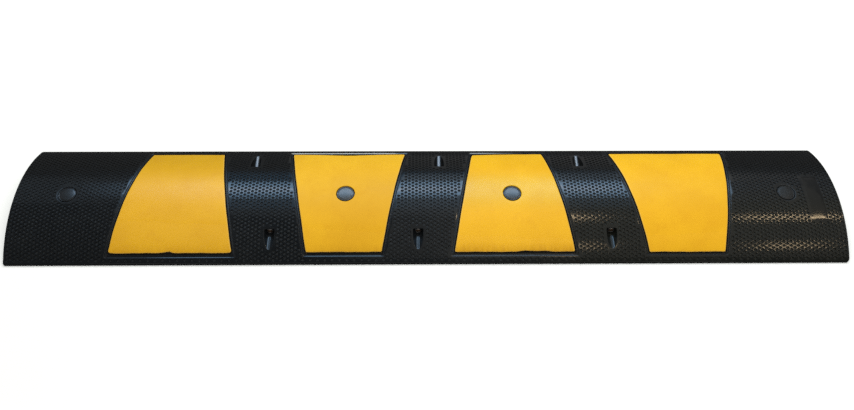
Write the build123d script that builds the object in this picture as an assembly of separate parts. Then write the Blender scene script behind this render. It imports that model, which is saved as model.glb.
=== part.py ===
from build123d import *
import math
import os

# ---------------------------------------------------------------------------
# Driving dimensions (mm).  X runs along the bump, Y across it (the way traffic
# drives), Z up.  The origin is the middle of the base.
# ---------------------------------------------------------------------------
LENGTH = 1830.0          # 6 ft
WIDTH = 305.0            # 12 in
CREST = 50.0             # height of the rubber surface at the crest
LIP = 6.3                # height of the square lip along both long edges
PLAN_CORNER = 4.0        # plan size of the four eased outer corners

# yellow panels: side edges in plan are X = a + b*Y, ends at +-PANEL_END
PANEL_END = 133.0
PANEL_SIDES = [(-667.6, 0.1816, -452.4, -0.1941),
               (-291.6, -0.1848, -79.1, 0.1826)]   # the other two are these turned by 180 degrees
PANEL_CORNER = 3.0
PANEL_GAP = 1.4          # open joint between a panel and its recess
RECESS = 3.0             # depth of a panel recess below the rubber surface
PANEL_PROUD = 0.8        # a panel stands this much above the rubber surface
BORDER_W = 3.6           # shallow sunk border around each recess
BORDER_D = 1.2

# fixing holes on the crest line
HOLE_X = [-800.0, -185.5, 185.5, 800.0]
HOLE_R = 7.0             # clearance for a 12 mm road anchor
SEAT_Z = 20.0            # floor of the counterbore
BORE_R = 17.0            # lower counterbore: bolt head, washer and plug skirt
LEDGE_Z = 43.0           # step that carries the plug's head
TOP_R = 20.3             # upper counterbore around the plug's head
PANEL_HOLE_R = 20.6      # matching hole through a panel
WASHER_R = 16.6
WASHER_T = 3.0

# plugs
PLUG_R = 19.0            # head radius
PLUG_EDGE_Z = 49.5       # top of the head at its rim
PLUG_TOP_Z = 50.5        # top of the dome
SKIRT_R = 16.5           # outside of the skirt
SKIRT_IN_R = 12.8        # inside of the skirt, clears a 19 mm hexagon head
SKIRT_Z = 25.0           # lower end of the skirt
PLUG_ROOF_Z = 41.0       # underside of the head inside the skirt
PLUG_EDGE_ROUND = 0.9

# cat-eye pockets: half-oval troughs with a level floor and an upright uphill wall
POCKET_X = [-347.0, -24.5, 398.0]     # on the -Y slope; the +Y slope has them turned by 180 degrees
POCKET_WALL = 84.0       # |Y| of the uphill wall
POCKET_R = 11.0          # half width of the trough
POCKET_OVAL = 15.0       # upright half axis of its oval floor
POCKET_FLOOR = 20.5      # Z of the floor line
POCKET_CORNER = 3.0      # plan radius of the uphill corners
EYE_Z = 28.4             # axis of the reflector
EYE_R = 6.5              # outside of the holder cup
EYE_DEPTH = 14.0         # depth of its hole behind the wall
FLANGE_R = 7.4           # holder flange that lies on the wall
FLANGE_T = 0.8
LENS_R = 5.4
CUP_BACK = 1.6           # thickness of the cup's closed end
LENS_DOME = 1.6          # how far the lens bulges past the flange

# relief cells in the underside
CELL_PITCH = 112.0
CELL_L = 97.0
CELL_ROUND = 8.0
CELLS_DEEP = (30.0, 66.0, 24.0)       # |Y| from, |Y| to, depth
CELLS_EDGE = (76.0, 134.0, 8.0)
CELLS_MID = (40.0, 24.0)              # width across the crest line, depth
MID_KEEP = 36.0                       # the middle cells stay this far from a fixing hole

# ---------------------------------------------------------------------------
# Derived sizes
# ---------------------------------------------------------------------------
RISE = CREST - LIP
RADIUS = (WIDTH ** 2 / 4 + RISE ** 2) / (2 * RISE)   # the arched top is one circular arc
AXIS_Z = CREST - RADIUS

os.makedirs("parts", exist_ok=True)


def save(shape, name):
    shape.label = name
    export_step(shape, "parts/%s.step" % name)


def barrel(offset):
    """Solid cylinder along X whose top lies `offset` above the arched surface."""
    return Pos(0, 0, AXIS_Z) * Rot(0, 90, 0) * Cylinder(RADIUS + offset, LENGTH + 40)


def dome_mid(half, rise):
    """Mid point of a spherical dome's half section: its radius from the axis and its height above the rim."""
    r = (half ** 2 + rise ** 2) / (2 * rise)
    return half / 2, math.sqrt(r * r - half ** 2 / 4) - (r - rise)


def turned(shape):
    """The same shape turned by 180 degrees about the vertical axis."""
    return Rot(0, 0, 180) * shape


def panel_outline(which, grow):
    """Plan face of a panel trapezoid, grown on every side by `grow`, with rounded corners."""
    a0, b0, a1, b1 = PANEL_SIDES[which]
    y = PANEL_END + grow
    l0 = a0 - grow * math.hypot(1, b0)
    l1 = a1 + grow * math.hypot(1, b1)
    pts = [(l0 - b0 * y, -y), (l1 - b1 * y, -y), (l1 + b1 * y, y), (l0 + b0 * y, y)]
    face = make_face(Polyline(*pts, close=True))
    return fillet(face.vertices(), PANEL_CORNER)


def panel_prism(which, grow):
    return extrude(panel_outline(which, grow), 80)


# ---------------------------------------------------------------------------
# Rubber body
# ---------------------------------------------------------------------------
section = make_face(
    Polyline((-WIDTH / 2, LIP), (-WIDTH / 2, 0), (WIDTH / 2, 0), (WIDTH / 2, LIP))
    + ThreePointArc((WIDTH / 2, LIP), (0, CREST), (-WIDTH / 2, LIP)))
body = extrude(Plane.YZ * section, LENGTH / 2, both=True)
# the outer corners are eased with two flats each, which meet the arched top at clear angles
ease = PLAN_CORNER * (1 - math.sqrt(0.5))
quarter = [(LENGTH / 2 - PLAN_CORNER, WIDTH / 2), (LENGTH / 2 - ease, WIDTH / 2 - ease), (LENGTH / 2, WIDTH / 2 - PLAN_CORNER)]
plan_pts = (quarter + [(x, -y) for x, y in reversed(quarter)] + [(-x, -y) for x, y in quarter]
            + [(-x, y) for x, y in reversed(quarter)])
body = body & extrude(make_face(Polyline(*plan_pts, close=True)), 80)

above_border = barrel(20) - barrel(-BORDER_D)
above_recess = barrel(20) - barrel(-RECESS)
for which in (0, 1):
    border = panel_prism(which, PANEL_GAP + BORDER_W) & above_border
    recess = panel_prism(which, PANEL_GAP) & above_recess
    body = body - border - turned(border)
    body = body - recess - turned(recess)

# cat-eye pockets and the holes for the reflector cups
eye_y = -POCKET_WALL
for x in POCKET_X:
    u_face = Plane.XZ * (Pos(x, POCKET_FLOOR + POCKET_OVAL) * Ellipse(POCKET_R, POCKET_OVAL)
                         + Pos(x, POCKET_FLOOR + POCKET_OVAL + 20) * Rectangle(2 * POCKET_R, 40))
    trough = Pos(0, eye_y, 0) * extrude(u_face, 120)
    lane = Pos(x, eye_y - 60) * Rectangle(2 * POCKET_R, 120)
    lane = fillet(lane.vertices().sort_by(Axis.Y)[-2:], POCKET_CORNER)
    trough = trough & extrude(lane, 90)
    hole = Pos(x, eye_y + EYE_DEPTH / 2 - 1, EYE_Z) * Rot(90, 0, 0) * Cylinder(EYE_R, EYE_DEPTH + 2)
    cut = trough + hole
    body = body - cut - turned(cut)

# fixing holes
for x in HOLE_X:
    body = body - Pos(x, 0, 25) * Cylinder(HOLE_R, 100)
    body = body - Pos(x, 0, (SEAT_Z + 60) / 2) * Cylinder(BORE_R, 60 - SEAT_Z)
    body = body - Pos(x, 0, (LEDGE_Z + 60) / 2) * Cylinder(TOP_R, 60 - LEDGE_Z)

# relief cells
n = 8
cell_x = [s * (CELL_PITCH / 2 + CELL_PITCH * k) for k in range(n) for s in (-1, 1)]
deep, edge, mid = [], [], []
for x in cell_x:
    for s in (-1, 1):
        y0, y1, _ = CELLS_DEEP
        deep.append(Pos(x, s * (y0 + y1) / 2) * RectangleRounded(CELL_L, y1 - y0, CELL_ROUND))
        y0, y1, _ = CELLS_EDGE
        edge.append(Pos(x, s * (y0 + y1) / 2) * RectangleRounded(CELL_L, y1 - y0, CELL_ROUND))
    if all(abs(x - h) > CELL_L / 2 + MID_KEEP for h in HOLE_X):
        mid.append(Pos(x, 0) * RectangleRounded(CELL_L, CELLS_MID[0], CELL_ROUND))
cells = [extrude(f, CELLS_DEEP[2]) for f in deep]
cells += [extrude(f, CELLS_EDGE[2]) for f in edge]
cells += [extrude(f, CELLS_MID[1]) for f in mid]
body = body.cut(*[c.solid() if hasattr(c, "solid") else c for c in cells])
save(body.solid(), "rubber_body")
print("rubber_body solids", len(body.solids()), "volume l", round(body.volume / 1e6, 3))

# ---------------------------------------------------------------------------
# Yellow panels, numbered from -X to +X
# ---------------------------------------------------------------------------
sheet = barrel(PANEL_PROUD) - barrel(-RECESS)
panels = []
for which in (0, 1):
    p = panel_prism(which, 0) & sheet
    if which == 1:
        p = p - Pos(HOLE_X[1], 0, 40) * Cylinder(PANEL_HOLE_R, 80)
    panels.append(p)
save(panels[0].solid(), "yellow_panel_1")
save(panels[1].solid(), "yellow_panel_2")
save(turned(panels[1]).solid(), "yellow_panel_3")
save(turned(panels[0]).solid(), "yellow_panel_4")

# ---------------------------------------------------------------------------
# Load washers and hole plugs, numbered from -X to +X
# ---------------------------------------------------------------------------
washer = Pos(0, 0, SEAT_Z + WASHER_T / 2) * (Cylinder(WASHER_R, WASHER_T) - Cylinder(HOLE_R, WASHER_T + 1))
washer = chamfer(washer.edges().filter_by(GeomType.CIRCLE).group_by(Axis.Z)[-1].sort_by(SortBy.RADIUS)[-1], 0.5)

head_half = PLUG_R - PLUG_EDGE_ROUND
mid_r, mid_z = dome_mid(head_half, PLUG_TOP_Z - PLUG_EDGE_Z)
plug_half = make_face(
    Polyline((0, PLUG_TOP_Z), (0, PLUG_ROOF_Z), (SKIRT_IN_R, PLUG_ROOF_Z), (SKIRT_IN_R, SKIRT_Z),
             (SKIRT_R - 0.8, SKIRT_Z), (SKIRT_R, SKIRT_Z + 1.5), (SKIRT_R, LEDGE_Z),
             (PLUG_R, LEDGE_Z), (PLUG_R, PLUG_EDGE_Z - PLUG_EDGE_ROUND))
    + ThreePointArc((PLUG_R, PLUG_EDGE_Z - PLUG_EDGE_ROUND),
                    (PLUG_R - PLUG_EDGE_ROUND * 0.3, PLUG_EDGE_Z - PLUG_EDGE_ROUND * 0.3),
                    (PLUG_R - PLUG_EDGE_ROUND, PLUG_EDGE_Z))
    + ThreePointArc((head_half, PLUG_EDGE_Z), (mid_r, PLUG_EDGE_Z + mid_z), (0, PLUG_TOP_Z)))
plug = revolve(Plane.XZ * plug_half, Axis.Z)

for i, x in enumerate(HOLE_X):
    save((Pos(x, 0, 0) * washer).solid(), "bolt_washer_%d" % (i + 1))
    save((Pos(x, 0, 0) * plug).solid(), "hole_plug_%d" % (i + 1))

# ---------------------------------------------------------------------------
# Cat-eye reflectors: a flanged cup and a domed lens, drawn about +Y = into the
# rubber with the wall at Y = 0, then placed on the -Y and +Y walls
# ---------------------------------------------------------------------------
cup_half = make_face(Polyline((LENS_R, -FLANGE_T), (FLANGE_R, -FLANGE_T), (FLANGE_R, 0), (EYE_R, 0),
                              (EYE_R, EYE_DEPTH - 1), (0, EYE_DEPTH - 1), (0, EYE_DEPTH - 1 - CUP_BACK),
                              (LENS_R, EYE_DEPTH - 1 - CUP_BACK), close=True))
cup = revolve(cup_half, Axis.Y)
mid_r, mid_z = dome_mid(LENS_R, LENS_DOME)
lens_half = make_face(
    Polyline((0, -FLANGE_T - LENS_DOME), (0, EYE_DEPTH - 1 - CUP_BACK),
             (LENS_R, EYE_DEPTH - 1 - CUP_BACK), (LENS_R, -FLANGE_T))
    + ThreePointArc((LENS_R, -FLANGE_T), (mid_r, -FLANGE_T - mid_z), (0, -FLANGE_T - LENS_DOME)))
lens = revolve(lens_half, Axis.Y)
for i, x in enumerate(POCKET_X):
    place = Pos(x, eye_y, EYE_Z)
    save((place * cup).solid(), "reflector_cup_front_%d" % (i + 1))
    save((place * lens).solid(), "reflector_lens_front_%d" % (i + 1))
rear = sorted((-x, x) for x in POCKET_X)
for i, (rx, x) in enumerate(rear):
    place = Pos(x, eye_y, EYE_Z)
    save(turned(place * cup).solid(), "reflector_cup_rear_%d" % (i + 1))
    save(turned(place * lens).solid(), "reflector_lens_rear_%d" % (i + 1))
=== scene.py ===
import math

import bpy
import numpy as np
from mathutils import Matrix, Vector
from mathutils.geometry import delaunay_2d_cdt


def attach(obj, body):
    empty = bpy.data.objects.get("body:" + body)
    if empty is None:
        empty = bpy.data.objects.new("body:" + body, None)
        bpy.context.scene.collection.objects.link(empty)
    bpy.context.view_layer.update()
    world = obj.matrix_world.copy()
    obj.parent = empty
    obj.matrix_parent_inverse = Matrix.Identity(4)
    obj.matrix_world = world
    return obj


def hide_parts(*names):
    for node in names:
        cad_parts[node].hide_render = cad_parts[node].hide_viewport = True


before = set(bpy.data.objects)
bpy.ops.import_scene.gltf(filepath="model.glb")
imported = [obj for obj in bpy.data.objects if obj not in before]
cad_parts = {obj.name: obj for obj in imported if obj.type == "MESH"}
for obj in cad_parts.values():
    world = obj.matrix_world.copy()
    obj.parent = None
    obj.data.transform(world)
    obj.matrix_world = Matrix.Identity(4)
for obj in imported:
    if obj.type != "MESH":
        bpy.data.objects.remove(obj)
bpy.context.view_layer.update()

# ---------------------------------------------------------------------------
# Sizes in millimetres, the same as in the CAD.  X runs along the bump, Y across
# it, Z up; S is the arc length across the arched top, measured from the crest.
# ---------------------------------------------------------------------------
LENGTH, WIDTH, CREST, LIP = 1830.0, 305.0, 50.0, 6.3
RISE = CREST - LIP
RADIUS = (WIDTH ** 2 / 4 + RISE ** 2) / (2 * RISE)
AXIS_Z = CREST - RADIUS

PANEL_END = 133.0
PANEL_SIDES = [(-667.6, 0.1816, -452.4, -0.1941), (-291.6, -0.1848, -79.1, 0.1826)]
PANEL_CORNER = 3.0
RECESS, PROUD = 3.0, 0.8
PANEL_HOLE_R = 20.6

HOLE_X = [-800.0, -185.5, 185.5, 800.0]
HOLE_R, SEAT_Z, BORE_R, LEDGE_Z, TOP_R = 7.0, 20.0, 17.0, 43.0, 20.3
WASHER_R, WASHER_T = 16.6, 3.0

POCKET_X = [-347.0, -24.5, 398.0]
POCKET_WALL, POCKET_R, POCKET_OVAL, POCKET_FLOOR = 84.0, 11.0, 15.0, 20.5
EYE_Z, EYE_R, EYE_DEPTH = 28.4, 6.5, 14.0
FLANGE_R, FLANGE_T, LENS_R, CUP_BACK, LENS_DOME = 7.4, 0.8, 5.4, 1.6, 1.6

DIMPLE_P = 9.15                       # dimple pitch across the bump
DIMPLE_DX = DIMPLE_P * math.sqrt(3) / 2
DIMPLE_ROWS = [(3.55, -0.10), (2.95, -1.9)]               # radius and depth of a dimple's rows of points
DIMPLE_FLOOR = -2.05
DIMPLE_N = 8

CELL_PITCH, CELL_L, CELL_ROUND = 112.0, 97.0, 8.0
CELLS_DEEP, CELLS_EDGE, CELLS_MID, MID_KEEP = (30.0, 66.0, 24.0), (76.0, 134.0, 8.0), (40.0, 24.0), 36.0

# Moulded border of each panel recess.  Along the slanted sides it is a narrow lip with a groove outside it;
# along the front and back it is a bevel between two distances from the panel, of a given depth.
LIP_ROWS = [(7.5, -0.12), (7.2, -0.45), (6.5, -1.25), (5.9, -1.25), (5.2, -0.45), (4.9, -0.22), (4.5, -0.15), (3.0, -0.18), (2.75, -0.35), (2.6, -0.90)]
BEVEL_FRONT = [(7.9, 10.4, 1.62), (5.5, 8.8, 2.08), (5.5, 8.8, 2.00), (5.8, 7.2, 1.10)]
BEVEL_BACK = [(5.8, 7.2, 1.25), (5.4, 8.8, 1.95), (5.4, 8.8, 1.95), (5.8, 7.2, 1.25)]
JOINT = 2.6                           # open joint round each panel

PLATE = (846.0, 879.0, -70.0, 45.0)   # plain smooth plate near the right end: X from, X to, S from, S to


# ---------------------------------------------------------------------------
# Geometry helpers
# ---------------------------------------------------------------------------
def arc_of(y):
    return RADIUS * np.arcsin(np.clip(np.asarray(y, float) / RADIUS, -1, 1))


def lift(x, s, h=0.0):
    """3-D points at X and arc length S, standing h above the arched top."""
    x, s, h = np.broadcast_arrays(np.asarray(x, float), np.asarray(s, float), np.asarray(h, float))
    t = s / RADIUS
    return np.stack([x, (RADIUS + h) * np.sin(t), AXIS_Z + (RADIUS + h) * np.cos(t)], -1)


def smooth(a, b, x):
    t = np.clip((np.asarray(x, float) - a) / (b - a), 0, 1)
    return t * t * (3 - 2 * t)


def top_z(y):
    return AXIS_Z + np.sqrt(RADIUS ** 2 - np.asarray(y, float) ** 2)


def outward(loop):
    """Outward unit normals of a closed counter-clockwise 2-D loop."""
    d = np.roll(loop, -1, 0) - np.roll(loop, 1, 0)
    n = np.stack([d[:, 1], -d[:, 0]], -1)
    return n / np.linalg.norm(n, axis=1)[:, None]


def is_ccw(loop):
    x, y = loop[:, 0], loop[:, 1]
    return np.sum(x * np.roll(y, -1) - np.roll(x, -1) * y) > 0


def loop_distance(pts, loop):
    """Signed distance of 2-D points to a closed loop, negative inside."""
    a, b = loop, np.roll(loop, -1, 0)
    d = b - a
    best = np.full(len(pts), 1e9)
    inside = np.zeros(len(pts), bool)
    for k in range(len(a)):
        w = pts - a[k]
        t = np.clip((w @ d[k]) / (d[k] @ d[k]), 0, 1)
        best = np.minimum(best, np.hypot(w[:, 0] - t * d[k, 0], w[:, 1] - t * d[k, 1]))
        up = (a[k, 1] > pts[:, 1]) != (b[k, 1] > pts[:, 1])
        if up.any():
            cross = a[k, 0] + (pts[:, 1] - a[k, 1]) / (b[k, 1] - a[k, 1] + 1e-30) * d[k, 0]
            inside ^= up & (pts[:, 0] < cross)
    return np.where(inside, -best, best)


def rounded_polygon(pts, radii, steps, arc_steps=5):
    """Closed loop through pts with rounded corners; steps[k] divides the straight that ends at corner k."""
    pts = [np.array(p, float) for p in pts]
    arcs = []
    for k, q in enumerate(pts):
        d1 = pts[k - 1] - q
        d2 = pts[(k + 1) % len(pts)] - q
        d1, d2 = d1 / np.linalg.norm(d1), d2 / np.linalg.norm(d2)
        half = math.acos(max(-1, min(1, float(d1 @ d2)))) / 2
        r = radii[k]
        c = q + (d1 + d2) / np.linalg.norm(d1 + d2) * (r / math.sin(half))
        a0 = math.atan2(*(q + d1 * (r / math.tan(half)) - c)[::-1])
        a1 = math.atan2(*(q + d2 * (r / math.tan(half)) - c)[::-1])
        turn = (a1 - a0 + math.pi) % (2 * math.pi) - math.pi
        arcs.append([c + r * np.array([math.cos(a0 + turn * i / arc_steps), math.sin(a0 + turn * i / arc_steps)])
                     for i in range(arc_steps + 1)])
    out = []
    for k in range(len(pts)):
        start, end = arcs[k - 1][-1], arcs[k][0]
        out += [start + (end - start) * i / steps[k] for i in range(1, steps[k])]
        out += arcs[k]
    return np.array(out)


def circle_loop(x, r, n):
    """Plan circle about (x, 0) as an (X, S) loop."""
    a = 2 * np.pi * np.arange(n) / n
    return np.stack([x + r * np.cos(a), arc_of(r * np.sin(a))], -1)


def triangulate(loops, points):
    """Constrained triangles over loops[0] with the other (convex) loops left open.
    Indices count through the loops in order, then the points."""
    flat = np.concatenate([*loops, points]) if len(points) else np.concatenate(loops)
    own = np.full(len(flat), -1)
    edges, base = [], 0
    for k, lp in enumerate(loops):
        n = len(lp)
        own[base:base + n] = k
        edges += [(base + i, base + (i + 1) % n) for i in range(n)]
        base += n
    mid = flat.mean(0)
    verts, _, faces, _, _, _ = delaunay_2d_cdt([Vector(p) for p in (flat - mid)], edges, [], 1, 1e-7, True)
    if len(verts) != len(flat):
        raise RuntimeError("loops cross: %d points became %d" % (len(flat), len(verts)))
    got = np.array([v[:] for v in verts]) + mid
    if np.abs(got - flat).max() > 1e-3:
        raise RuntimeError("points were reordered")
    tri = np.array(faces, int)
    o = own[tri]
    shut = (o[:, 0] > 0) & (o[:, 0] == o[:, 1]) & (o[:, 1] == o[:, 2])
    rim = np.flatnonzero((o == 0).all(1))       # slivers along the outside, and bays of a hollow side
    if len(rim):
        shut[rim] = loop_distance(flat[tri[rim]].mean(1), loops[0]) > -1e-3
    return tri[~shut]


class Shell:
    """Vertices and faces of one closed piece, in millimetres."""

    def __init__(self):
        self.v, self.f, self.n = [], [], 0

    def add(self, pts):
        pts = np.asarray(pts, float).reshape(-1, 3)
        start = self.n
        self.v.append(pts)
        self.n += len(pts)
        return np.arange(start, self.n)

    def faces(self, rows):
        self.f += [tuple(int(i) for i in r) for r in rows]

    def band(self, a, b, flip=False):
        """Quads between two closed rows of the same length; a above or outside b, counter-clockwise from above."""
        a2, b2 = np.roll(a, -1), np.roll(b, -1)
        rows = np.stack([a, a2, b2, b] if flip else [a, b, b2, a2], -1)
        self.faces(rows)

    def strip(self, a, b, flip=False):
        """Quads between two open rows."""
        rows = np.stack([a[:-1], b[:-1], b[1:], a[1:]], -1)
        self.faces(rows[:, ::-1] if flip else rows)

    def fan(self, row, centre, flip=False):
        nxt = np.roll(row, -1)
        rows = np.stack([row, nxt, np.full(len(row), centre)], -1)
        self.faces(rows[:, ::-1] if flip else rows)

    def build(self, name, sharp=38.0):
        v = np.concatenate(self.v)
        mesh = bpy.data.meshes.new(name)
        mesh.from_pydata((v * 0.001).tolist(), [], self.f)
        mesh.update()
        mesh.shade_smooth()
        mesh.set_sharp_from_angle(angle=math.radians(sharp))
        obj = bpy.data.objects.new(name, mesh)
        bpy.context.scene.collection.objects.link(obj)
        use = {}
        for poly in mesh.polygons:
            for k in poly.edge_keys:
                use[k] = use.get(k, 0) + 1
        bad = sum(1 for c in use.values() if c != 2)
        tris = sum(len(p.vertices) - 2 for p in mesh.polygons)
        print("PIECE %s: %d verts, %d tris, %d open edges" % (name, len(v), tris, bad))
        return obj


# ---------------------------------------------------------------------------
# Loops on the arched top
# ---------------------------------------------------------------------------
def panel_loop(i, g, front=None, back=None):
    """(X, S) outline of panel i (0 to 3 from -X), grown by g; the front and back ends may grow by another amount."""
    a0, b0, a1, b1 = PANEL_SIDES[i if i < 2 else 3 - i]
    front, back = g if front is None else front, g if back is None else back
    near, far = (front, back) if i < 2 else (back, front)
    y0, y1 = (float(RADIUS * np.sin((arc_of(PANEL_END) + k) / RADIUS)) for k in (near, far))
    l0, l1 = a0 - g * math.hypot(1, b0), a1 + g * math.hypot(1, b1)
    pts = [(l0 - b0 * y0, -y0), (l1 - b1 * y0, -y0), (l1 + b1 * y1, y1), (l0 + b0 * y1, y1)]
    xy = rounded_polygon(pts, [PANEL_CORNER] * 4, [32, 34, 32, 34])
    out = np.stack([xy[:, 0], arc_of(xy[:, 1])], -1)
    return out if i < 2 else -out


def bevel_rows(a, b, d):
    """Distance and height of the border's rows across a front or back bevel."""
    return [(b, -0.06), (b - 0.25, -0.15), ((a + b) / 2, -d / 2), (a + 0.25, 0.15 - d), (a, 0.03 - d), (a - 0.4, -d), (a - 0.8, -d), (3.0, -d), (2.75, -0.08 - d), (2.6, -0.4 - d)]


def border_rows(i):
    """Closed (X, S) rows and heights of panel i's border, from the rubber's surface inwards."""
    rows = [(panel_loop(i, 8.0, BEVEL_FRONT[i][1] + 0.3, BEVEL_BACK[i][1] + 0.3), 0.0)]
    for (g, h), (gf, hf), (gb, hb) in zip(LIP_ROWS, bevel_rows(*BEVEL_FRONT[i]), bevel_rows(*BEVEL_BACK[i])):
        lp = panel_loop(i, g, gf, gb)
        across = outward(lp)[:, 1]
        if i == 2:                              # this panel's back bevel flattens towards +X
            hb = hb * (1 - 0.45 * smooth(120, 235, lp[:, 0]))
        end = np.where(across < 0, hf, hb)
        rows.append((lp, h + (end - h) * across ** 2))
    return rows


def plan_outline():
    """Plan outline of the body with its rounded corners, counter-clockwise."""
    a, b = LENGTH / 2, WIDTH / 2
    return rounded_polygon([(-a, -b), (a, -b), (a, b), (-a, b)], [2.2, 5.5, 4.0, 4.0], [56, 180, 56, 180])


def pocket_rim():
    """Rim of a pocket about X = 0 on the -Y slope: stations along it, and the (x, |y|) rim and section points."""
    rc = 2.2
    tip = math.sqrt(RADIUS ** 2 - (POCKET_FLOOR - AXIS_Z) ** 2)
    near = [POCKET_WALL + rc * (1 - math.cos(math.radians(a))) for a in (0, 30, 60, 90)]
    far = list(np.linspace(POCKET_WALL + rc, tip - 3.0, 14)[1:])
    stations = near + far + [tip - 1.6]
    sections, rim = [], []
    for v in stations:
        zs = float(top_z(v))
        c = POCKET_FLOOR + POCKET_OVAL
        squeeze = 1.0
        if v < POCKET_WALL + rc - 1e-9:
            q = rc - (v - POCKET_WALL)
            squeeze = (POCKET_R - (rc - math.sqrt(rc ** 2 - q ** 2))) / POCKET_R
        if zs >= c:
            low = np.linspace(-math.pi / 2, 0, 60)
            left = [(-POCKET_R, zs + (c - zs) * t) for t in np.linspace(0, 1, 40)[:-1]]
            left += [(POCKET_R * math.sin(a), c - POCKET_OVAL * math.cos(a)) for a in low]
        else:
            top_a = math.asin(math.sqrt(max(0.0, 1 - ((c - zs) / POCKET_OVAL) ** 2)))
            left = [(POCKET_R * math.sin(a), c - POCKET_OVAL * math.cos(a)) for a in np.linspace(-top_a, 0, 100)]
        left = np.array(left)
        whole = np.concatenate([left, left[::-1][1:] * [-1, 1]])
        whole[:, 0] *= squeeze
        d = np.concatenate([[0], np.cumsum(np.linalg.norm(np.diff(whole, axis=0), axis=1))])
        cut = min(1.1, 0.22 * d[-1])
        t = np.linspace(cut, d[-1] - cut, 17)
        pts = np.stack([np.interp(t, d, whole[:, 0]), np.interp(t, d, whole[:, 1])], -1)
        sections.append(np.stack([pts[:, 0], np.full(17, -v), pts[:, 1]], -1))
        rim.append((whole[0, 0], v))
    return stations, sections, rim, tip


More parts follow.
